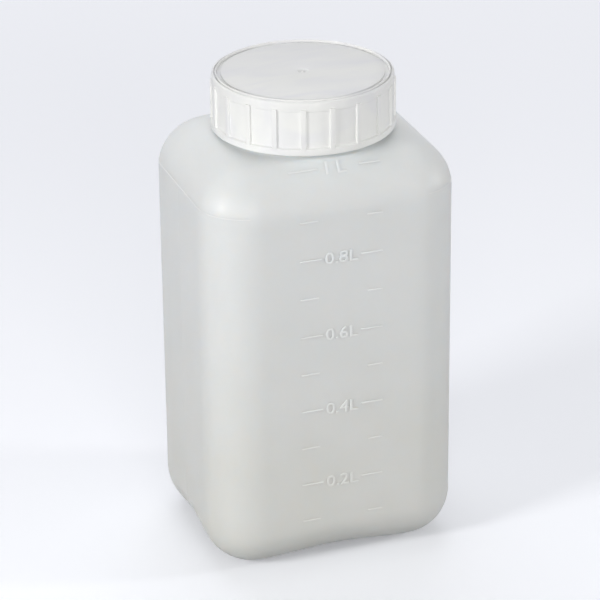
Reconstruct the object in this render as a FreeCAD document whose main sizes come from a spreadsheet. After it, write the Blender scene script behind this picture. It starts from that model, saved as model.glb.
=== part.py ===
import FreeCAD, Part
import math
import os
import Sketcher

# Wide-mouth reagent bottle of one litre: a blow-moulded rectangular shell, a ribbed screw cap and its liner.
# Millimetres, +Z up, origin under the middle of the base, graduated front face towards -Y.

doc = FreeCAD.newDocument("reagent_bottle")
sheet = doc.addObject("Spreadsheet::Sheet", "Sizes")

# Driving dimensions: alias, value, what it is
driving_sizes = [
    ("body_width", 95.0, "across the graduated face, along X"),
    ("body_depth", 78.5, "front to back, along Y"),
    ("edge_rounding", 17.0, "upright corners, base and shoulder of the body alike"),
    ("shoulder_height", 155.6, "top of the shoulder above the ground"),
    ("wall", 1.3, "blow-moulded wall"),
    ("front_arch_rise", 1.5, "arch under the front and back walls"),
    ("side_arch_rise", 2.4, "arch under the left and right walls"),
    ("foot_size", 5.5, "flat under each corner, where the arches spring"),
    ("neck_radius", 29.3, "outside of the neck under its thread"),
    ("neck_wall", 2.0, "wall of the neck"),
    ("neck_height", 19.4, "lip above the shoulder"),
    ("neck_flare_rise", 1.6, "start of the neck's flared root above the shoulder"),
    ("neck_flare_depth", 4.0, "foot of the flare, buried in the shoulder"),
    ("neck_flare", 2.6, "widening of the neck from the start to the foot of its flare"),
    ("thread_space", 1.5, "from the neck to the bore of the cap, where the threads mesh"),
    ("cap_wall", 2.2, "from the bore of the cap to its ribs and lower band"),
    ("cap_height", 20.5, "lower edge to the rim of the top"),
    ("cap_top_thickness", 1.8, "top plate of the cap"),
    ("lower_band", 2.4, "plain band under the ribs"),
    ("panel_depth", 0.75, "panels between the ribs under the face of the lower band"),
    ("panel_ledge", 0.35, "height of the sloped ledges that end a panel"),
    ("upper_band_depth", 0.55, "upper band under the face of the lower band"),
    ("upper_band_drop", 4.2, "start of the upper band under the rim"),
    ("rim_step_drop", 1.5, "shallow step round the top under the rim"),
    ("rim_step_inset", 1.3, "foot of that step inside the face of the lower band"),
    ("rim_inset", 2.3, "crest of the rim inside the face of the lower band"),
    ("disc_drop", 0.9, "top disc under the rim"),
    ("disc_inset", 3.2, "edge of the top disc inside the face of the lower band"),
    ("rib_count", 20, "grip ribs round the cap"),
    ("rib_width", 2.3, "foot of a rib"),
    ("rib_crest_width", 1.7, "outer face of a rib"),
    ("rib_top_drop", 3.5, "upper end of a rib under the rim"),
    ("liner_thickness", 1.6, "foam disc between the lip and the cap"),
    ("liner_clearance", 0.3, "liner to the bore of the cap"),
]
for row, (alias, value, meaning) in enumerate(driving_sizes, start=1):
    sheet.set(f"A{row}", alias)
    sheet.set(f"B{row}", str(value))
    sheet.set(f"C{row}", meaning)
    sheet.setAlias(f"B{row}", alias)
doc.recompute()

# Heights and radii that follow from the driving dimensions, as expressions on the sheet
lip_height = "(Sizes.shoulder_height + Sizes.neck_height)"
disc_underside = f"({lip_height} + Sizes.liner_thickness)"
disc_height = f"({disc_underside} + Sizes.cap_top_thickness)"
rim_height = f"({disc_height} + Sizes.disc_drop)"
cap_foot = f"({rim_height} - Sizes.cap_height)"
cap_bore = "(Sizes.neck_radius + Sizes.thread_space)"
cap_radius = f"({cap_bore} + Sizes.cap_wall)"
panel_radius = f"({cap_radius} - Sizes.panel_depth)"
upper_band_radius = f"({cap_radius} - Sizes.upper_band_depth)"
panel_foot = f"({cap_foot} + Sizes.lower_band)"
upper_band_foot = f"({rim_height} - Sizes.upper_band_drop)"
rim_step_height = f"({rim_height} - Sizes.rim_step_drop)"
rib_top = f"({rim_height} - Sizes.rib_top_drop)"

near = 0.01
full_turn = 360

up = FreeCAD.Vector(0, 0, 1)
origin = (-1, 1)
start, end, centre = range(1, 4)
level_axis, upright_axis = -1, -2


def value_of(expression):
    return float(sheet.evalExpression(expression))


def new_sketch(body, name, role, offset=None):
    sketch = body.newObject("Sketcher::SketchObject", name)
    plane = next(feature for feature in body.Origin.OriginFeatures if feature.Role == role)
    sketch.AttachmentSupport = (plane, [""])
    sketch.MapMode = "FlatFace"
    if offset:
        sketch.setExpression("AttachmentOffset.Base.z", offset)
    return sketch


def drive(sketch, name, expression, kind, *places):
    # A dimension of the sketch, bound to the sheet
    constraint = Sketcher.Constraint(kind, *places, value_of(expression))
    sketch.renameConstraint(sketch.addConstraint(constraint), name)
    sketch.setExpression(f"Constraints.{name}", expression)


def hold(sketch, kind, *places):
    sketch.addConstraint(Sketcher.Constraint(kind, *places))


def place_vertex(sketch, edge, name, across, height):
    # The start of an edge, held by its distances from the sketch's origin
    for suffix, kind, axis, expression in (
        ("across", "DistanceX", upright_axis, across),
        ("height", "DistanceY", level_axis, height),
    ):
        if value_of(expression) == 0:
            hold(sketch, "PointOnObject", edge, start, axis)
        else:
            drive(sketch, f"{name}_{suffix}", expression, kind, *origin, edge, start)


def closed_outline(sketch, points):
    # Straight edges through named points: name, distance across, height
    corners = [FreeCAD.Vector(value_of(across), value_of(height), 0) for _, across, height in points]
    following = corners[1:] + corners[:1]
    for here, there in zip(corners, following):
        sketch.addGeometry(Part.LineSegment(here, there))
    for edge, (name, across, height) in enumerate(points):
        hold(sketch, "Coincident", edge, end, (edge + 1) % len(points), start)
        place_vertex(sketch, edge, name, across, height)


def rounded_rectangle(sketch, width, depth, radius):
    half_width, half_depth, corner = value_of(width) / 2, value_of(depth) / 2, value_of(radius)
    across, along = half_width - corner, half_depth - corner
    sides = [
        ((-across, -half_depth), (across, -half_depth)),
        ((half_width, -along), (half_width, along)),
        ((across, half_depth), (-across, half_depth)),
        ((-half_width, along), (-half_width, -along)),
    ]
    corners = [(across, -along), (across, along), (-across, along), (-across, -along)]
    for here, there in sides:
        sketch.addGeometry(Part.LineSegment(FreeCAD.Vector(*here), FreeCAD.Vector(*there)))
    for turn, middle in enumerate(corners):
        ring = Part.Circle(FreeCAD.Vector(*middle), up, corner)
        sketch.addGeometry(Part.ArcOfCircle(ring, (turn - 1) * math.pi / 2, turn * math.pi / 2))
    first_arc = len(sides)
    for side in range(len(sides)):
        arc = first_arc + side
        hold(sketch, "Tangent", side, end, arc, start)
        hold(sketch, "Tangent", arc, end, (side + 1) % len(sides), start)
        if side:
            hold(sketch, "Equal", first_arc, arc)
    hold(sketch, "Horizontal", 0)
    hold(sketch, "Vertical", 1)
    hold(sketch, "Symmetric", first_arc, centre, first_arc + 2, centre, *origin)
    drive(sketch, "corner", radius, "Radius", first_arc)
    drive(sketch, "half_width", f"({width}) / 2", "DistanceX", *origin, 1, start)
    drive(sketch, "half_depth", f"({depth}) / 2", "DistanceY", *origin, 2, start)


def circle(sketch, drop, radius):
    # A full circle on the upright axis, its centre a drop under the origin
    middle = FreeCAD.Vector(0, -value_of(drop))
    sketch.addGeometry(Part.Circle(middle, up, value_of(radius)))
    drive(sketch, "radius", radius, "Radius", 0)
    if value_of(drop) == 0:
        hold(sketch, "Coincident", 0, centre, *origin)
    else:
        hold(sketch, "PointOnObject", 0, centre, upright_axis)
        drive(sketch, "drop", drop, "DistanceY", 0, centre, *origin)


def pad(body, name, sketch, length):
    feature = body.newObject("PartDesign::Pad", name)
    feature.Profile = sketch
    feature.setExpression("Length", length)
    doc.recompute()


def revolve(body, name, sketch):
    feature = body.newObject("PartDesign::Revolution", name)
    feature.Profile = sketch
    feature.ReferenceAxis = (sketch, ["V_Axis"])
    feature.Angle = full_turn
    doc.recompute()


def arch(body, name, role, along, rise, inset):
    # A shallow vault from wall to wall, which leaves a flat foot under each corner
    before = body.Tip.Shape.Volume
    half_span = f"({along} / 2 - Sizes.edge_rounding - Sizes.foot_size)"
    radius = f"(({half_span}^2 + {rise}^2) / (2 * {rise}))"
    sketch = new_sketch(body, f"{name}_circle", role)
    circle(sketch, f"({radius} - {rise})", f"({radius} + {inset})")
    cut = body.newObject("PartDesign::Pocket", name)
    cut.Profile = sketch
    cut.SideType = "Symmetric"
    cut.setExpression("Length", "Sizes.body_width + Sizes.body_depth")
    doc.recompute()
    if body.Tip.Shape.Volume >= before:
        raise RuntimeError(f"{name} removes nothing")


def moulded_form(name, inset, neck_outline):
    # The outside of the shell, or with an inset of one wall its inside
    body = doc.addObject("PartDesign::Body", name)
    corner = f"(Sizes.edge_rounding - {inset})"
    footprint = new_sketch(body, "footprint", "XY_Plane", inset)
    rounded_rectangle(footprint, f"Sizes.body_width - 2 * {inset}", f"Sizes.body_depth - 2 * {inset}", corner)
    pad(body, "walls", footprint, f"Sizes.shoulder_height - 2 * {inset}")
    walls = body.Tip
    ends = [f"Face{number}" for number, face in enumerate(walls.Shape.Faces, start=1)
            if abs(face.normalAt(0, 0).z) > 1 - near]
    rounding = body.newObject("PartDesign::Fillet", "base_and_shoulder")
    rounding.Base = (walls, ends)
    rounding.setExpression("Radius", corner)
    doc.recompute()
    arch(body, "front_arch", "XZ_Plane", "Sizes.body_width", "Sizes.front_arch_rise", inset)
    arch(body, "side_arch", "YZ_Plane", "Sizes.body_depth", "Sizes.side_arch_rise", inset)
    section = new_sketch(body, "neck_section", "XZ_Plane")
    closed_outline(section, neck_outline)
    revolve(body, "neck", section)
    return body


def build_bottle():
    flare_foot = "Sizes.shoulder_height - Sizes.neck_flare_depth"
    bore = "Sizes.neck_radius - Sizes.neck_wall"
    above_lip = f"{lip_height} + Sizes.neck_wall"
    bottle = doc.addObject("Part::Cut", "bottle")
    bottle.Base = moulded_form("outside", "0", [
        ("flare_middle", "0", flare_foot),
        ("flare_foot", "Sizes.neck_radius + Sizes.neck_flare", flare_foot),
        ("flare_top", "Sizes.neck_radius", "Sizes.shoulder_height + Sizes.neck_flare_rise"),
        ("lip", "Sizes.neck_radius", lip_height),
        ("lip_middle", "0", lip_height),
    ])
    bottle.Tool = moulded_form("inside", "Sizes.wall", [
        ("bore_middle", "0", flare_foot),
        ("bore_foot", bore, flare_foot),
        ("bore_top", bore, above_lip),
        ("mouth_middle", "0", above_lip),
    ])
    return bottle


def build_cap():
    body = doc.addObject("PartDesign::Body", "screw_cap")
    outline = new_sketch(body, "cap_section", "XZ_Plane")
    closed_outline(outline, [
        ("bore_foot", cap_bore, cap_foot),
        ("skirt_foot", cap_radius, cap_foot),
        ("lower_band", cap_radius, panel_foot),
        ("panel_foot", panel_radius, f"{panel_foot} + Sizes.panel_ledge"),
        ("panel_top", panel_radius, f"{upper_band_foot} - Sizes.panel_ledge"),
        ("upper_band", upper_band_radius, upper_band_foot),
        ("upper_edge", upper_band_radius, f"{rim_step_height} - Sizes.panel_ledge"),
        ("rim_step", f"{cap_radius} - Sizes.rim_step_inset", rim_step_height),
        ("rim", f"{cap_radius} - Sizes.rim_inset", rim_height),
        ("disc_edge", f"{cap_radius} - Sizes.disc_inset", disc_height),
        ("disc_middle", "0", disc_height),
        ("plate_middle", "0", disc_underside),
        ("plate_edge", cap_bore, disc_underside),
    ])
    revolve(body, "cap_shell", outline)
    section = new_sketch(body, "rib_section", "XY_Plane", panel_foot)
    foot, crest = "Sizes.rib_width / 2", "Sizes.rib_crest_width / 2"
    buried = f"({panel_radius} - Sizes.panel_depth / 2)"
    face = f"{cap_radius} * cos(asin({crest} / {cap_radius}))"
    closed_outline(section, [
        ("foot_right", buried, f"-{foot}"),
        ("crest_right", face, f"-{crest}"),
        ("crest_left", face, crest),
        ("foot_left", buried, foot),
    ])
    pad(body, "rib", section, f"{rib_top} - {panel_foot}")
    ribs = body.newObject("PartDesign::PolarPattern", "ribs")
    ribs.Originals = [doc.getObject("rib")]
    ribs.Axis = (outline, ["V_Axis"])
    ribs.Angle = full_turn
    ribs.setExpression("Occurrences", "Sizes.rib_count")
    body.Tip = ribs
    doc.recompute()
    return body


def build_liner():
    body = doc.addObject("PartDesign::Body", "liner")
    outline = new_sketch(body, "liner_circle", "XY_Plane", lip_height)
    radius = f"{cap_bore} - Sizes.liner_clearance"
    circle(outline, "0", radius)
    pad(body, "liner_disc", outline, "Sizes.liner_thickness")
    return body


pieces = {"bottle": build_bottle(), "screw_cap": build_cap(), "liner": build_liner()}
doc.recompute()

for item in doc.Objects:
    if {"Invalid", "Error"} & set(item.State):
        raise RuntimeError(f"{item.Label} failed: {item.State}")
for name, piece in pieces.items():
    piece.Label = name
    piece.Placement = FreeCAD.Placement()
    shape = piece.Shape
    if shape.isNull() or not shape.isValid() or len(shape.Solids) != 1:
        raise RuntimeError(f"{name} is not one valid solid")
    print(f"{name}: {shape.Volume / 1000:.2f} cm3, box {shape.BoundBox}")

os.makedirs("parts", exist_ok=True)
for name, piece in pieces.items():
    piece.Shape.exportStep(f"parts/{name}.step")
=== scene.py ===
import bmesh
import bpy
from math import atan2, cos, hypot, pi, radians, sin, sqrt
from mathutils import Matrix, Vector
from mathutils.bvhtree import BVHTree


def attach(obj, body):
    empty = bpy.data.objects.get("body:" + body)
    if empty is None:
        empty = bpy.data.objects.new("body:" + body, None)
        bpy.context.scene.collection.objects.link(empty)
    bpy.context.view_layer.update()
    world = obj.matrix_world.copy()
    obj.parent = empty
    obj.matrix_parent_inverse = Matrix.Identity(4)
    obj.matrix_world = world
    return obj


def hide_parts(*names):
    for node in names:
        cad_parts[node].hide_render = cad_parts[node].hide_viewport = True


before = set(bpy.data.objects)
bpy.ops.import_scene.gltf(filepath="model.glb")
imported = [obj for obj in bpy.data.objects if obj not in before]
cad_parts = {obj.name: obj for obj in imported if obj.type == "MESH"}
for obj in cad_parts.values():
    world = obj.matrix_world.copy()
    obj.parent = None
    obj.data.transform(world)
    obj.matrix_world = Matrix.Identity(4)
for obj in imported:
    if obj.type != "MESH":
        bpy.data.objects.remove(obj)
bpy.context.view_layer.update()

scene = bpy.context.scene
mm = 0.001  # pieces are drawn in millimetres and scaled once, when they become objects
mergeDistance = 0.001  # in millimetres
print("frame loaded:", ", ".join(sorted(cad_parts)))


# Shared helpers

def linear(hexColour):
    channels = [int(hexColour[i:i + 2], 16) / 255 for i in (0, 2, 4)]
    return [c / 12.92 if c <= 0.04045 else ((c + 0.055) / 1.055) ** 2.4 for c in channels] + [1.0]


def addNode(tree, kind, values=None, links=None, **settings):
    node = tree.nodes.new(kind)
    for name, value in settings.items():
        setattr(node, name, value)
    for socket, value in (values or {}).items():
        node.inputs[socket].default_value = value
    for socket, source in (links or {}).items():
        tree.links.new(source, node.inputs[socket])
    return node


def newMaterial(name):
    material = bpy.data.materials.new(name)
    material.use_nodes = True
    material.node_tree.nodes.clear()
    return material, material.node_tree


def perMetre(sizeInMm):
    return 1 / (sizeInMm * mm)  # texture scale for features of that size


def makePiece(name, bm, material, body, sharpAngle):
    bmesh.ops.remove_doubles(bm, verts=bm.verts, dist=mergeDistance)
    bmesh.ops.recalc_face_normals(bm, faces=bm.faces)
    bmesh.ops.scale(bm, vec=(mm, mm, mm), verts=bm.verts)
    for face in bm.faces:
        face.smooth = True
    mesh = bpy.data.meshes.new(name)
    bm.to_mesh(mesh)
    bm.free()
    mesh.set_sharp_from_angle(angle=radians(sharpAngle))
    mesh.materials.append(material)
    piece = bpy.data.objects.new(name, mesh)
    scene.collection.objects.link(piece)
    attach(piece, body)
    print(f"{name}: {len(mesh.polygons)} faces")
    return piece


# Materials, with sizes in millimetres

# Natural HDPE, blow-moulded: milky and translucent, so light spreads inside the wall and evens out
# the shading; a satin skin with a slight orange peel, and a tone that is a little darker and warmer
# low down.
hdpe = {
    "upper": "E8EDEE", "lower": "E2E3DC", "cloud": "EFF3F4",
    "reliefUpper": "F0F3F3", "reliefLower": "ECECE6",
    "fadeFrom": 10.0, "fadeTo": 130.0,  # heights over which the colour passes from the lower tone to the upper
    "cloudSize": 34.0, "cloudDetail": 2.0, "cloudRange": (0.35, 0.75), "cloudShare": 0.35,
    # orange peel is nearer 0.5 mm, drawn coarser so that it shows
    "peelSize": 1.6, "peelDetail": 1.0, "peelStrength": 0.05, "peelDepth": 0.1,
    "roughness": (0.38, 0.48), "ior": 1.54,
    "scatterDepth": 2.2, "scatterTint": (0.9, 1.0, 1.1),
}


def naturalHdpe(name, scatter, upper, lower):
    material, tree = newMaterial(name)
    place = addNode(tree, "ShaderNodeTexCoord").outputs["Object"]
    height = addNode(tree, "ShaderNodeSeparateXYZ", links={"Vector": place}).outputs["Z"]
    fade = addNode(tree, "ShaderNodeMapRange",
                   {"From Min": hdpe["fadeFrom"] * mm, "From Max": hdpe["fadeTo"] * mm},
                   {"Value": height}, interpolation_type="SMOOTHSTEP")
    ramp = addNode(tree, "ShaderNodeValToRGB", links={"Fac": fade.outputs["Result"]})
    ramp.color_ramp.elements[0].color = linear(lower)
    ramp.color_ramp.elements[1].color = linear(upper)
    cloud = addNode(tree, "ShaderNodeTexNoise",
                    {"Scale": perMetre(hdpe["cloudSize"]), "Detail": hdpe["cloudDetail"]},
                    {"Vector": place}).outputs["Fac"]
    clear, dense = hdpe["cloudRange"]
    amount = addNode(tree, "ShaderNodeMapRange",
                     {"From Min": clear, "From Max": dense, "To Max": hdpe["cloudShare"]},
                     {"Value": cloud})
    tint = addNode(tree, "ShaderNodeMixRGB", {"Color2": linear(hdpe["cloud"])},
                   {"Fac": amount.outputs["Result"], "Color1": ramp.outputs["Color"]})
    low, high = hdpe["roughness"]
    satin = addNode(tree, "ShaderNodeMapRange", {"To Min": low, "To Max": high}, {"Value": cloud})
    peel = addNode(tree, "ShaderNodeTexNoise",
                   {"Scale": perMetre(hdpe["peelSize"]), "Detail": hdpe["peelDetail"]},
                   {"Vector": place})
    bump = addNode(tree, "ShaderNodeBump",
                   {"Strength": hdpe["peelStrength"], "Distance": hdpe["peelDepth"] * mm},
                   {"Height": peel.outputs["Fac"]})
    shader = addNode(tree, "ShaderNodeBsdfPrincipled",
                     {"IOR": hdpe["ior"], "Subsurface Weight": scatter,
                      "Subsurface Radius": hdpe["scatterTint"],
                      "Subsurface Scale": hdpe["scatterDepth"] * mm},
                     {"Base Color": tint.outputs["Color"], "Roughness": satin.outputs["Result"],
                      "Normal": bump.outputs["Normal"]})
    addNode(tree, "ShaderNodeOutputMaterial", links={"Surface": shader.outputs["BSDF"]})
    return material


# White polypropylene, injection-moulded: dense white, satin from a lightly blasted mould, with
# faint flow marks drawn out in one direction.
polypropylene = {
    "white": "F1F1EE", "flow": "EBEBEC",
    "flowSize": 16.0, "flowDetail": 3.0, "flowBend": 0.6, "flowRange": (0.4, 0.7),
    "flowTurn": 20, "flowStretch": (0.45, 1.6, 1.0),
    # the blasted grain is finer, drawn coarser so that it shows
    "grainSize": 0.9, "grainDetail": 1.0, "grainStrength": 0.06, "grainDepth": 0.05,
    "roughness": (0.34, 0.5), "ior": 1.49,
    "scatterShare": 0.15, "scatterDepth": 0.3, "scatterTint": (1.0, 1.0, 1.0),
}


def whitePolypropylene():
    material, tree = newMaterial("whitePolypropyleneMoulded")
    place = addNode(tree, "ShaderNodeTexCoord").outputs["Object"]
    stretched = addNode(tree, "ShaderNodeMapping",
                        {"Rotation": (0, 0, radians(polypropylene["flowTurn"])),
                         "Scale": polypropylene["flowStretch"]}, {"Vector": place})
    flow = addNode(tree, "ShaderNodeTexNoise",
                   {"Scale": perMetre(polypropylene["flowSize"]),
                    "Detail": polypropylene["flowDetail"], "Distortion": polypropylene["flowBend"]},
                   {"Vector": stretched.outputs["Vector"]}).outputs["Fac"]
    faint, full = polypropylene["flowRange"]
    amount = addNode(tree, "ShaderNodeMapRange", {"From Min": faint, "From Max": full},
                     {"Value": flow})
    tint = addNode(tree, "ShaderNodeMixRGB", {"Color1": linear(polypropylene["white"]),
                                              "Color2": linear(polypropylene["flow"])},
                   {"Fac": amount.outputs["Result"]})
    low, high = polypropylene["roughness"]
    satin = addNode(tree, "ShaderNodeMapRange", {"To Min": low, "To Max": high}, {"Value": flow})
    grain = addNode(tree, "ShaderNodeTexNoise",
                    {"Scale": perMetre(polypropylene["grainSize"]),
                     "Detail": polypropylene["grainDetail"]}, {"Vector": place})
    bump = addNode(tree, "ShaderNodeBump",
                   {"Strength": polypropylene["grainStrength"],
                    "Distance": polypropylene["grainDepth"] * mm},
                   {"Height": grain.outputs["Fac"]})
    shader = addNode(tree, "ShaderNodeBsdfPrincipled",
                     {"IOR": polypropylene["ior"],
                      "Subsurface Weight": polypropylene["scatterShare"],
                      "Subsurface Radius": polypropylene["scatterTint"],
                      "Subsurface Scale": polypropylene["scatterDepth"] * mm},
                     {"Base Color": tint.outputs["Color"], "Roughness": satin.outputs["Result"],
                      "Normal": bump.outputs["Normal"]})
    addNode(tree, "ShaderNodeOutputMaterial", links={"Surface": shader.outputs["BSDF"]})
    return material


# Expanded PE foam, die-cut: matte and off-white with closed cells, pressed flat and shiny in a ring
# by the lip.
foam = {
    "skin": "E9E8E2", "cell": "D8D7CF", "cellSize": 0.8,
    "lipInner": 27.4, "lipOuter": 29.2, "lipDepth": 0.25,
    "cellRelief": 0.3,  # as a share of the depth that the lip has pressed in
    "reliefStrength": 0.6,
    "roughness": (0.85, 0.5),  # of the free foam and of the pressed ring
    "ior": 1.5,
}


def peFoam():
    material, tree = newMaterial("peFoamDieCut")
    place = addNode(tree, "ShaderNodeTexCoord").outputs["Object"]
    cells = addNode(tree, "ShaderNodeTexVoronoi", {"Scale": perMetre(foam["cellSize"])},
                    {"Vector": place}).outputs["Distance"]
    tint = addNode(tree, "ShaderNodeMixRGB",
                   {"Color1": linear(foam["cell"]), "Color2": linear(foam["skin"])}, {"Fac": cells})
    flat = addNode(tree, "ShaderNodeVectorMath", {1: (1.0, 1.0, 0.0)}, {0: place},
                   operation="MULTIPLY")
    radius = addNode(tree, "ShaderNodeVectorMath", links={0: flat.outputs["Vector"]},
                     operation="LENGTH")
    middle = (foam["lipInner"] + foam["lipOuter"]) / 2
    half = (foam["lipOuter"] - foam["lipInner"]) / 2
    pressed = addNode(tree, "ShaderNodeMath", {1: middle * mm, 2: half * mm},
                      {0: radius.outputs["Value"]}, operation="COMPARE").outputs["Value"]
    free, shiny = foam["roughness"]
    satin = addNode(tree, "ShaderNodeMapRange", {"To Min": free, "To Max": shiny},
                    {"Value": pressed})
    relief = addNode(tree, "ShaderNodeMath", {1: foam["cellRelief"]}, {0: cells},
                     operation="MULTIPLY")
    height = addNode(tree, "ShaderNodeMath", links={0: relief.outputs["Value"], 1: pressed},
                     operation="SUBTRACT")
    bump = addNode(tree, "ShaderNodeBump",
                   {"Strength": foam["reliefStrength"], "Distance": foam["lipDepth"] * mm},
                   {"Height": height.outputs["Value"]})
    shader = addNode(tree, "ShaderNodeBsdfPrincipled", {"IOR": foam["ior"]},
                     {"Base Color": tint.outputs["Color"], "Roughness": satin.outputs["Result"],
                      "Normal": bump.outputs["Normal"]})
    addNode(tree, "ShaderNodeOutputMaterial", links={"Surface": shader.outputs["BSDF"]})
    return material


hdpeMaterial = naturalHdpe("naturalHdpeBlowMoulded", scatter=1.0,
                           upper=hdpe["upper"], lower=hdpe["lower"])
# raised strokes are too thin for light to spread in them, and look whiter because the wall is
# thicker there; on the mould line the whiter colour is a painted highlight, the light line that the
# ridge catches
reliefMaterial = naturalHdpe("naturalHdpeRelief", scatter=0.0,
                             upper=hdpe["reliefUpper"], lower=hdpe["reliefLower"])
capMaterial = whitePolypropylene()
foamMaterial = peFoam()
print("materials ready")


# Bottle: one shell, drawn as rings from the middle of the base up the outside, over the lip and
# down the inside

shell = {
    "width": 95.0, "depth": 78.5, "cornerRadius": 18.3, "wall": 1.3,
    "baseRounding": 17.6, "shoulderRounding": 17.0, "shoulderHeight": 155.6,
    "frontArch": (1.5, 29.0), "sideArch": (2.4, 21.5),  # rise and half span between the feet
    "archBlend": 3,  # power with which two arches merge under a corner
    "recess": 0.2,  # the wall lies this far inside the face of the scale
    "partingRidge": 0.1, "partingHalfWidth": 0.5,
    "rootRounding": 2.6, "rootHeight": 157.4, "rootClimb": 1.5,  # power of the climb to the neck
    "neckRadius": 29.3, "boreRadius": 27.3, "lipHeight": 175.0, "lipRounding": 0.6,
    # points round a ring
    "sideSteps": 24, "frontSteps": 32, "cornerSteps": 14,
    # rings: shares of the way out to the feet, then heights, then counts
    "floorRings": (0.05, 0.2, 0.35, 0.5, 0.65, 0.8, 0.92),
    "wallRings": (26, 40, 60, 80, 100, 120, 132, 137, 138.6, 139.5),
    "neckRings": (162, 165, 169, 172), "boreRings": (172, 166, 161),
    "roundSteps": 12, "lipSteps": 4, "shoulderSteps": 16,
    "shoulderCrowding": 1.7,  # power that draws the rings together at the foot of the shoulder
}


def outlineStations():
    # skeleton point, outward direction and whether the mould parts there, once round the plan
    cx = shell["width"] / 2 - shell["cornerRadius"]
    cy = shell["depth"] / 2 - shell["cornerRadius"]
    sideSteps, frontSteps = shell["sideSteps"], shell["frontSteps"]
    cornerSteps, ridge = shell["cornerSteps"], shell["partingHalfWidth"]
    evenly = [cy * (2 * i / sideSteps - 1) for i in range(sideSteps + 1)]
    sides = sorted(evenly + [-ridge, ridge])
    fronts = [cx * (2 * i / frontSteps - 1) for i in range(frontSteps + 1)]
    turns = [pi / 2 * i / cornerSteps for i in range(1, cornerSteps)]
    outline = [(cx, y, 1, 0, abs(y) < ridge / 2) for y in sides]
    outline += [(cx, cy, cos(t), sin(t), False) for t in turns]
    outline += [(x, cy, 0, 1, False) for x in reversed(fronts)]
    outline += [(-cx, cy, -sin(t), cos(t), False) for t in turns]
    # the other half is the same, turned by half a turn
    return outline + [(-x, -y, -nx, -ny, ridged) for x, y, nx, ny, ridged in outline]


def archRise(x, y):
    def swell(distance, arch):
        rise, halfSpan = arch
        share = max(0.0, 1 - abs(distance) / halfSpan)
        return rise * share * share * (3 - 2 * share)
    blend = shell["archBlend"]
    front = swell(x, shell["frontArch"]) ** blend
    side = swell(y, shell["sideArch"]) ** blend
    return (front + side) ** (1 / blend)


def shoulderHeightAt(x, y, inset):
    radius, corner = shell["shoulderRounding"], shell["cornerRadius"]
    cx, cy = shell["width"] / 2 - corner, shell["depth"] / 2 - corner
    away = hypot(max(0, abs(x) - cx), max(0, abs(y) - cy))
    depth = min(corner - away, radius)
    rise = sqrt(max(0, (radius - inset) ** 2 - (radius - depth) ** 2))
    return shell["shoulderHeight"] - radius + rise


def ringPlace(kind, value, inset, neckRadius, station):
    # the value is a share of the way on a floor or shoulder, an angle round a foot or root,
    # a height on a wall, and a radius with a height on a neck
    sx, sy, nx, ny, ridged = station
    corner, rounding = shell["cornerRadius"], shell["baseRounding"]
    ridge = shell["partingRidge"] if ridged and inset < shell["wall"] else 0

    def offset(depth):
        return sx + nx * (corner - depth + ridge), sy + ny * (corner - depth + ridge)

    if kind == "floor":
        x, y = offset(rounding)
        x, y = x * value, y * value
        return Vector((x, y, inset + archRise(x, y)))
    if kind == "foot":
        x, y = offset(rounding - (rounding - inset) * sin(value))
        return Vector((x, y, rounding - (rounding - inset) * cos(value) + archRise(x, y)))
    if kind == "wall":
        bend = shell["shoulderRounding"] - inset  # the wall leans in from just below the mould line
        over = max(0.0, value - shell["shoulderHeight"] + shell["shoulderRounding"])
        x, y = offset(inset + bend - sqrt(bend * bend - over * over))
        return Vector((x, y, value))
    outer = offset(inset)
    turn = atan2(outer[1] / shell["depth"], outer[0] / shell["width"])
    root = neckRadius + shell["rootRounding"]
    crest = shell["rootHeight"] - inset  # the shoulder climbs to the same height all round the neck
    if kind == "shoulder":
        x = outer[0] + (cos(turn) * root - outer[0]) * value
        y = outer[1] + (sin(turn) * root - outer[1]) * value
        short = crest - shoulderHeightAt(cos(turn) * root, sin(turn) * root, inset)
        climb = short * value ** shell["rootClimb"]
        return Vector((x, y, shoulderHeightAt(x, y, inset) + climb))
    if kind == "root":
        r = neckRadius + shell["rootRounding"] * (1 - sin(value))
        z = crest + shell["rootRounding"] * (1 - cos(value))
    else:
        r, z = value
    return Vector((cos(turn) * r, sin(turn) * r, z))


def growRing(bm, ring, places):
    edges = [bm.edges.get((ring[i - 1], ring[i])) for i in range(len(ring))]
    grown = bmesh.ops.extrude_edge_only(bm, edges=edges)["geom"]
    fresh = {item for item in grown if isinstance(item, bmesh.types.BMVert)}
    following = []
    for vert, spot in zip(ring, places):
        partner = next(e.other_vert(vert) for e in vert.link_edges if e.other_vert(vert) in fresh)
        partner.co = spot
        following.append(partner)
    return following


def joinRings(bm, rings):
    first = bmesh.ops.create_circle(bm, segments=len(rings[0]), radius=1.0)["verts"]
    for vert, spot in zip(first, rings[0]):
        vert.co = spot
    last = first
    for places in rings[1:]:
        last = growRing(bm, last, places)
    return first, last


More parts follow.
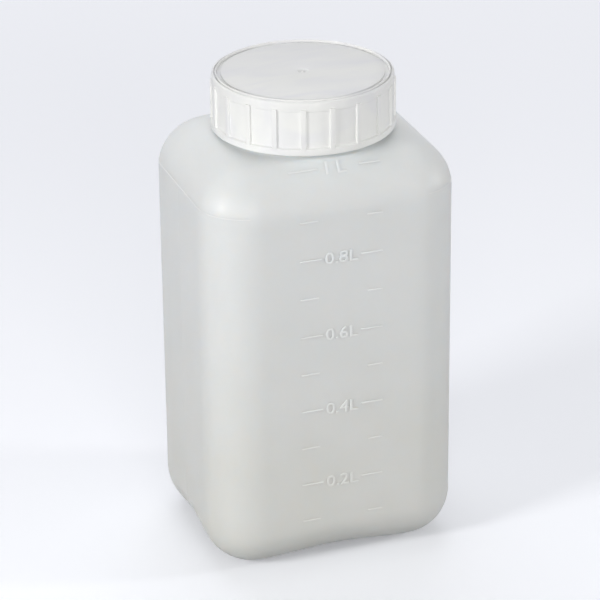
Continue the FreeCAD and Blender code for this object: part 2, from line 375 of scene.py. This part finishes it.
def shellRings():
    # kind and value for ringPlace, inset from the face of the scale, and radius of the neck
    steps, lipSteps, count = shell["roundSteps"], shell["lipSteps"], shell["shoulderSteps"]
    quarter = [pi / 2 * i / steps for i in range(steps + 1)]
    lipArc = [pi / 2 * i / lipSteps for i in range(lipSteps + 1)]
    body = [("floor", share) for share in shell["floorRings"]]
    body += [("foot", t) for t in quarter]
    body += [("wall", z) for z in shell["wallRings"]]
    body += [("shoulder", (i / count) ** shell["shoulderCrowding"]) for i in range(1, count + 1)]
    body += [("root", t) for t in quarter[2::2]]
    neck, bore, wall = shell["neckRadius"], shell["boreRadius"], shell["wall"]
    lip, edge = shell["lipHeight"], shell["lipRounding"]
    outside = [(neck, z) for z in shell["neckRings"]]
    outside += [(neck - edge * (1 - cos(t)), lip - edge * (1 - sin(t))) for t in lipArc]
    inside = [(bore + edge * (1 - sin(t)), lip - edge * (1 - cos(t))) for t in lipArc]
    inside += [(bore, z) for z in shell["boreRings"]]
    rings = [(kind, value, shell["recess"], neck) for kind, value in body]
    rings += [("neck", place, 0.0, neck) for place in outside]
    rings += [("neck", place, wall, bore) for place in inside]
    rings += [(kind, value, wall, bore) for kind, value in reversed(body)]
    return rings


stations = outlineStations()


def buildBottle():
    bm = bmesh.new()
    rings = []
    drop = Vector((0, 0, shell["recess"]))
    for kind, value, inset, neckRadius in shellRings():
        places = [ringPlace(kind, value, inset, neckRadius, station) for station in stations]
        # the base stands on the ground, so the recess of the walls is taken out of the height there
        if inset == shell["recess"] and kind in ("floor", "foot"):
            places = [spot - drop for spot in places]
        rings.append(places)
    for end in joinRings(bm, rings):
        bmesh.ops.contextual_create(bm, geom=end)
    return bm


bottleMesh = buildBottle()
bottleSurface = BVHTree.FromBMesh(bottleMesh)  # in millimetres, for the mark on the shoulder
bottlePiece = makePiece("bottleShell", bottleMesh, hdpeMaterial, "bottle",
                        sharpAngle=60)
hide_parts("bottle")


# Mould line: a low ridge round the sides and corners, which sinks into the wall at front and back

mouldLine = {
    "height": 141.2, "width": 0.6, "crest": 0.3,
    "rise": 0.19, "sunk": 0.1,  # rise on the sides, less how far all of it is let in
    "root": 0.3,  # depth of its foot inside the wall
}


def buildMouldLine():
    bm = bmesh.new()
    rings = []
    half, crest = mouldLine["width"] / 2, mouldLine["crest"] / 2
    for step, raised in ((-half, False), (-crest, True), (crest, True), (half, False)):
        height = mouldLine["height"] + step
        places = []
        for station in stations:
            sideways = abs(station[2])
            lift = mouldLine["rise"] * sqrt(sideways) - mouldLine["sunk"]
            inset = shell["recess"] - lift if raised else shell["recess"] + mouldLine["root"]
            places.append(ringPlace("wall", height, inset, shell["neckRadius"], station))
        rings.append(places)
    joinRings(bm, rings)
    bmesh.ops.bridge_loops(bm, edges=[e for e in bm.edges if e.is_boundary])
    return bm


# drawn in the whiter relief colour: a painted highlight, the light line that the ridge catches
makePiece("mouldLine", buildMouldLine(), reliefMaterial, "bottle", sharpAngle=70)


# Litre scale: raised strokes and figures, moulded with the front wall

scale = {
    "face": -39.25, "firstLevel": 19.82, "step": 14.68, "levels": 9,
    "outerEnd": 15.4, "evenTick": 8.2, "oddLeft": 6.9, "oddRight": 5.7,
    "stroke": 0.62, "sunk": 0.5, "softEdge": 0.12, "softSteps": 2, "barCuts": 8,
    "textHeight": 4.6, "textWidth": 12.2,
    # of the font, before the text is stretched to its height and width
    "fontExtrude": 0.03, "fontBevel": 0.012, "fontSteps": 3,
}


def strokeBar(bm, left, right, matrix):
    # a bar with softened edges, lying in the XY plane and raised along Z up to 0
    bar = bmesh.new()
    bmesh.ops.create_cube(bar, size=1.0)
    runs = [e for e in bar.edges if e.verts[0].co.x != e.verts[1].co.x]
    bmesh.ops.subdivide_edges(bar, edges=runs, cuts=scale["barCuts"])
    bmesh.ops.scale(bar, vec=(right - left, scale["stroke"], scale["sunk"]), verts=bar.verts)
    middle = -scale["sunk"] / 2
    bmesh.ops.translate(bar, vec=((left + right) / 2, 0, middle), verts=bar.verts)
    top = [e for e in bar.edges if all(v.co.z > middle for v in e.verts)]
    crest = [e for e in top if e.calc_face_angle() > pi / 4]  # not the edges that the cuts made
    bmesh.ops.bevel(bar, geom=crest, offset=scale["softEdge"], affect="EDGES",
                    segments=scale["softSteps"], profile=0.5, material=-1)
    bmesh.ops.transform(bar, matrix=matrix, verts=bar.verts)
    mesh = bpy.data.meshes.new("bar")
    bar.to_mesh(mesh)
    bar.free()
    bm.from_mesh(mesh)
    bpy.data.meshes.remove(mesh)


def figures(bm, text, width, matrix, spacing=1.0):
    curve = bpy.data.curves.new("figures", "FONT")
    curve.body, curve.space_character = text, spacing
    curve.extrude, curve.bevel_depth = scale["fontExtrude"], scale["fontBevel"]
    curve.resolution_u = scale["fontSteps"]
    flat = bpy.data.objects.new("figures", curve)
    scene.collection.objects.link(flat)
    evaluated = flat.evaluated_get(bpy.context.evaluated_depsgraph_get())
    mesh = bpy.data.meshes.new_from_object(evaluated)
    low = [min(v.co[i] for v in mesh.vertices) for i in range(3)]
    high = [max(v.co[i] for v in mesh.vertices) for i in range(3)]
    middle = Vector(((low[0] + high[0]) / 2, (low[1] + high[1]) / 2, high[2]))
    size = Vector((width, scale["textHeight"], scale["sunk"]))
    stretch = Matrix.Diagonal([size[i] / (high[i] - low[i]) for i in range(3)] + [1])
    mesh.transform(matrix @ stretch @ Matrix.Translation(-middle))
    bm.from_mesh(mesh)
    bpy.data.objects.remove(flat)
    bpy.data.curves.remove(curve)
    bpy.data.meshes.remove(mesh)


def buildScale():
    bm = bmesh.new()
    upright = Matrix.Rotation(pi / 2, 4, "X")
    end = scale["outerEnd"]
    for level in range(1, scale["levels"] + 1):
        height = scale["firstLevel"] + scale["step"] * (level - 1)
        spot = Matrix.Translation((0, scale["face"], height)) @ upright
        labelled = level % 2 == 0
        left = scale["evenTick"] if labelled else scale["oddLeft"]
        right = scale["evenTick"] if labelled else scale["oddRight"]
        strokeBar(bm, -end, left - end, spot)
        strokeBar(bm, end - right, end, spot)
        if labelled:
            figures(bm, f"0.{level}L", scale["textWidth"], spot)
    return bm


makePiece("litreScale", buildScale(), reliefMaterial, "bottle", sharpAngle=30)


# Full mark: the same strokes on the slope of the shoulder

fullMark = {
    "slope": 61.8, "depth": 33.46, "height": 154.46, "relief": 0.15,
    "text": "1L", "textWidth": 7.6, "spacing": 1.35,
    "outerEnd": 17.0, "leftTick": 10.6, "rightTick": 8.2,
    "castFrom": 10,  # height above the mark from which its points are sought on the shoulder
}


def buildFullMark():
    bm = bmesh.new()
    spot = Matrix.Translation((0, -fullMark["depth"], fullMark["height"]))
    lying = spot @ Matrix.Rotation(radians(fullMark["slope"]), 4, "X")
    end = fullMark["outerEnd"]
    figures(bm, fullMark["text"], fullMark["textWidth"], lying, spacing=fullMark["spacing"])
    strokeBar(bm, -end, fullMark["leftTick"] - end, lying)
    strokeBar(bm, end - fullMark["rightTick"], end, lying)
    # the mark follows the bulge of the shoulder: each point keeps its height above the surface
    up = lying.to_3x3() @ Vector((0, 0, 1))
    toFlat = lying.inverted()
    for vert in bm.verts:
        surface = bottleSurface.ray_cast(vert.co + up * fullMark["castFrom"], -up)[0]
        vert.co = surface + up * (fullMark["relief"] + (toFlat @ vert.co).z)
    return bm


makePiece("fullMark", buildFullMark(), reliefMaterial, "bottle", sharpAngle=30)


# Neck thread: a little over one turn of a tapered ridge, as in the cap

thread = {
    "pitch": 4.2, "turns": 1.1, "steps": 96, "foot": 2.0, "crest": 0.8,
    "sunk": 0.3,  # depth of the foot inside the wall
    "runOut": 8,  # steps over which both ends sink into the wall
}
neckThread = {"wall": shell["neckRadius"], "crest": 30.4, "start": 163.6}


def buildThread(wallRadius, crestRadius, startHeight):
    bm = bmesh.new()
    root = wallRadius + (-thread["sunk"] if crestRadius > wallRadius else thread["sunk"])
    foot, crest = thread["foot"] / 2, thread["crest"] / 2
    section = [(root, -foot), (crestRadius, -crest), (crestRadius, crest), (root, foot)]
    verts = [bm.verts.new((r, 0, startHeight + z)) for r, z in section]
    profile = bm.faces.new(verts)
    steps = thread["steps"]
    climb = thread["pitch"] * thread["turns"] / steps
    bmesh.ops.spin(bm, geom=[profile] + list(profile.edges) + verts, cent=(0, 0, 0), axis=(0, 0, 1),
                   dvec=(0, 0, climb), angle=2 * pi * thread["turns"], steps=steps,
                   use_duplicate=False)
    for vert in bm.verts:
        away = hypot(vert.co.x, vert.co.y)
        if abs(away - crestRadius) < abs(away - root):
            height = vert.co.z - startHeight
            step = min(max(0, height + crest), max(0, climb * steps + crest - height)) / climb
            share = min(1.0, step / thread["runOut"])
            target = root + (crestRadius - root) * share
            vert.co.x *= target / away
            vert.co.y *= target / away
    return bm


makePiece("neckThread", buildThread(neckThread["wall"], neckThread["crest"], neckThread["start"]),
          reliefMaterial, "bottle", sharpAngle=70)


# Cap: one turned section with the gate mark in the middle of its top, and twenty grip ribs

cap = {
    "radius": 33.0, "bore": 30.8, "foot": 158.8, "plateUnder": 176.6,
    "bandTop": 161.2, "panel": 32.25, "panelLedge": 0.35, "upperBand": 32.45, "upperFoot": 175.1,
    "boreRounding": 0.3, "innerRounding": 0.35, "footRounding": 0.5, "ledgeRounding": 0.12,
    # corners of the top from the outside in: radius, height and rounding
    "rim": [
        (32.45, 178.5, 0.8), (31.65, 178.5, 0.06),  # edge
        (31.6, 177.6, 0.06), (31.1, 177.6, 0.06),  # groove outside the bead
        (31.05, 178.95, 0.15), (30.7, 178.95, 0.15),  # bead
        (30.65, 177.8, 0.06), (29.1, 177.8, 0.06),  # groove inside the bead
        (29.05, 178.4, 0.06),  # disc
    ],
    "gateMark": [
        (1.9, 178.4, 0.5), (1.2, 177.8, 0.3), (0.55, 177.8, 0.1), (0.45, 178.45, 0.12),
        (0.0, 178.45, 0),
    ],
    "turnSteps": 180, "roundSteps": 4,
    "ribCount": 20, "ribWidth": 1.8, "ribDepth": 1.4, "ribTurn": -1.2, "ribTop": 175.8,
    "ribOverlap": 0.5,  # how far the ribs reach down into the band
    "ribSoftEdge": 0.16, "ribSoftSteps": 3,
}


def capSection():
    # radius, height and rounding of each corner, from the middle of the plate's underside
    ledge, soft = cap["panelLedge"], cap["ledgeRounding"]
    skirt = [
        (0.0, cap["plateUnder"], 0), (cap["bore"], cap["plateUnder"], cap["boreRounding"]),
        (cap["bore"], cap["foot"], cap["innerRounding"]),
        (cap["radius"], cap["foot"], cap["footRounding"]), (cap["radius"], cap["bandTop"], soft),
        (cap["panel"], cap["bandTop"] + ledge, soft),
        (cap["panel"], cap["upperFoot"] - ledge, soft), (cap["upperBand"], cap["upperFoot"], soft),
    ]
    return skirt + cap["rim"] + cap["gateMark"]


def addRibs(bm):
    # one rib, then copies of it round the skirt
    rib = bmesh.ops.create_cube(bm, size=1.0)["verts"]
    depth, low, high = cap["ribDepth"], cap["bandTop"] - cap["ribOverlap"], cap["ribTop"]
    bmesh.ops.scale(bm, vec=(depth, cap["ribWidth"], high - low), verts=rib)
    face = sqrt(cap["radius"] ** 2 - (cap["ribWidth"] / 2) ** 2)
    bmesh.ops.translate(bm, vec=(face - depth / 2, 0, (low + high) / 2), verts=rib)
    turned = Matrix.Rotation(radians(cap["ribTurn"]), 3, "Z")
    bmesh.ops.rotate(bm, cent=(0, 0, 0), matrix=turned, verts=rib)
    outer = [v for v in rib if v.co.x > cap["panel"]]
    crest = [e for e in bm.edges if e.verts[0] in outer and e.verts[1] in outer]
    made = bmesh.ops.bevel(bm, geom=crest, offset=cap["ribSoftEdge"], affect="EDGES",
                           segments=cap["ribSoftSteps"], profile=0.5, material=-1)
    ribVerts = {v for v in rib if v.is_valid} | set(made["verts"])
    ribEdges = {e for v in ribVerts for e in v.link_edges}
    ribFaces = {f for v in ribVerts for f in v.link_faces}
    copies = cap["ribCount"] - 1
    bmesh.ops.spin(bm, geom=list(ribVerts) + list(ribEdges) + list(ribFaces), cent=(0, 0, 0),
                   axis=(0, 0, 1), angle=2 * pi * copies / cap["ribCount"], steps=copies,
                   use_duplicate=True)


def buildCap():
    bm = bmesh.new()
    section = capSection()
    verts = [bm.verts.new((r, 0, z)) for r, z, rounding in section]
    for here, there in zip(verts, verts[1:]):
        bm.edges.new((here, there))
    for vert, (r, z, rounding) in zip(verts, section):
        if rounding:
            bmesh.ops.bevel(bm, geom=[vert], offset=rounding, offset_type="OFFSET",
                            affect="VERTICES", segments=cap["roundSteps"], profile=0.5, material=-1)
    bmesh.ops.spin(bm, geom=list(bm.verts) + list(bm.edges), cent=(0, 0, 0), axis=(0, 0, 1),
                   angle=2 * pi, steps=cap["turnSteps"], use_merge=True)
    addRibs(bm)
    return bm


capPiece = makePiece("capBody", buildCap(), capMaterial, "cap",
                     sharpAngle=50)
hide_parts("screw_cap")


# Cap thread: the same ridge, pointing inwards from the bore of the cap

capThread = {"wall": cap["bore"], "crest": 29.8, "start": 165.6}
makePiece("capThread", buildThread(capThread["wall"], capThread["crest"], capThread["start"]),
          capMaterial, "cap", sharpAngle=70)


# Liner: the turned disc of the frame is right as it is and takes the foam

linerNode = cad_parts["liner"]
linerNode.data.materials.clear()
linerNode.data.materials.append(foamMaterial)
print("liner dressed")


# Floor, light and camera

studio = {
    "floor": "F4F5F9", "floorBounce": "9A9B9E",  # as it is seen, and as it throws light back
    "floorSize": 12.0, "floorFade": (0.35, 1.6),  # metres; the glow grows over the fade
    "floorLift": (0.2, 0.72),  # strength of the glow near the bottle and far from it
    "world": "FFFFFF", "worldLevel": 0.26, "seenLevel": 1.0,
    # azimuth and elevation in degrees, distance and size in metres, power in watts, colour
    "lamps": {
        "key": (-72, 20, 0.9, 0.2, 3.5, "FFFFFF"),
        "front": (-12, 12, 1.1, 0.5, 4.6, "FFFFFF"),
        "right": (70, 15, 0.9, 0.1, 1.7, "FFFFFF"),
        "back": (170, 58, 1.1, 0.9, 4.5, "F7F9FF"),
    },
    "lampAim": 0.09,  # height that the lamps point at
}
view = {
    "azimuth": -19.25, "elevation": 24.65, "roll": -0.62,  # degrees
    "distance": 1104.8, "height": 104.94, "across": -1.70, "along": -14.45,  # millimetres
    "lens": 182.23, "sensor": 36.0,  # millimetres
    "clip": (0.01, 20.0),  # metres
}


def direction(azimuth, elevation):
    a, e = radians(azimuth), radians(elevation)
    return Vector((sin(a) * cos(e), -cos(a) * cos(e), sin(e)))


def sightRays(tree):
    # 1 where the eye looks, also in a reflection or through a clear wall, and 0 for other light
    rays = addNode(tree, "ShaderNodeLightPath").outputs
    seen = addNode(tree, "ShaderNodeMath",
                   links={0: rays["Is Camera Ray"], 1: rays["Is Glossy Ray"]}, operation="MAXIMUM")
    through = addNode(tree, "ShaderNodeMath",
                      links={0: seen.outputs["Value"], 1: rays["Is Transmission Ray"]},
                      operation="MAXIMUM")
    return through.outputs["Value"]


# Pale paper sweep: matte, seen paler than the light it throws back, and fading into the white
# background away from the lamps.
def paleFloor():
    material, tree = newMaterial("paleStudioFloor")
    sight = sightRays(tree)
    tone = addNode(tree, "ShaderNodeMixRGB",
                   {"Color1": linear(studio["floorBounce"]), "Color2": linear(studio["floor"])},
                   {"Fac": sight})
    shader = addNode(tree, "ShaderNodeBsdfDiffuse", links={"Color": tone.outputs["Color"]})
    place = addNode(tree, "ShaderNodeTexCoord").outputs["Object"]
    distance = addNode(tree, "ShaderNodeVectorMath", links={0: place}, operation="LENGTH")
    near, far = studio["floorFade"]
    low, high = studio["floorLift"]
    fade = addNode(tree, "ShaderNodeMapRange",
                   {"From Min": near, "From Max": far, "To Min": low, "To Max": high},
                   {"Value": distance.outputs["Value"]}, interpolation_type="SMOOTHSTEP")
    lift = addNode(tree, "ShaderNodeMath", links={0: fade.outputs["Result"], 1: sight},
                   operation="MULTIPLY")
    glow = addNode(tree, "ShaderNodeEmission", {"Color": linear(studio["floor"])},
                   {"Strength": lift.outputs["Value"]})
    both = addNode(tree, "ShaderNodeAddShader",
                   links={0: shader.outputs["BSDF"], 1: glow.outputs["Emission"]})
    addNode(tree, "ShaderNodeOutputMaterial", links={"Surface": both.outputs["Shader"]})
    return material


def buildFloor():
    bm = bmesh.new()
    bmesh.ops.create_grid(bm, x_segments=1, y_segments=1, size=studio["floorSize"] / 2)
    mesh = bpy.data.meshes.new("floor")
    bm.to_mesh(mesh)
    bm.free()
    mesh.materials.append(paleFloor())
    floor = bpy.data.objects.new("floor", mesh)
    scene.collection.objects.link(floor)


def addLamp(name, azimuth, elevation, distance, size, power, colour):
    light = bpy.data.lights.new(name, "AREA")
    light.energy, light.size, light.color = power, size, linear(colour)[:3]
    back = direction(azimuth, elevation)
    holder = bpy.data.objects.new(name, light)
    holder.location = Vector((0, 0, studio["lampAim"])) + back * distance
    holder.rotation_euler = back.to_track_quat("Z", "Y").to_euler()
    scene.collection.objects.link(holder)


def buildWorld():
    world = bpy.data.worlds.new("studio")
    world.use_nodes = True
    tree = world.node_tree
    tree.nodes.clear()
    level = addNode(tree, "ShaderNodeMapRange",
                    {"To Min": studio["worldLevel"], "To Max": studio["seenLevel"]},
                    {"Value": sightRays(tree)})
    glow = addNode(tree, "ShaderNodeBackground", {"Color": linear(studio["world"])},
                   {"Strength": level.outputs["Result"]})
    addNode(tree, "ShaderNodeOutputWorld", links={"Surface": glow.outputs["Background"]})
    scene.world = world


def placeCamera():
    back = direction(view["azimuth"], view["elevation"])
    a, roll = radians(view["azimuth"]), radians(view["roll"])
    level = Vector((cos(a), sin(a), 0))
    rise = back.cross(level)
    right = level * cos(roll) + rise * sin(roll)
    up = rise * cos(roll) - level * sin(roll)
    aim = Vector((0, 0, view["height"])) + right * view["across"] + up * view["along"]
    spot = (aim + back * view["distance"]) * mm
    data = bpy.data.cameras.new("photoView")
    data.lens, data.sensor_width = view["lens"], view["sensor"]
    data.clip_start, data.clip_end = view["clip"]
    holder = bpy.data.objects.new("photoView", data)
    turn = Matrix((right, up, back)).transposed().to_4x4()
    holder.matrix_world = Matrix.Translation(spot) @ turn
    scene.collection.objects.link(holder)
    scene.camera = holder
    print("camera at", [round(c, 4) for c in spot])


buildFloor()
for lampName, lampSettings in studio["lamps"].items():
    addLamp(lampName, *lampSettings)
buildWorld()
placeCamera()
scene.view_settings.view_transform = "Standard"
print("studio ready")
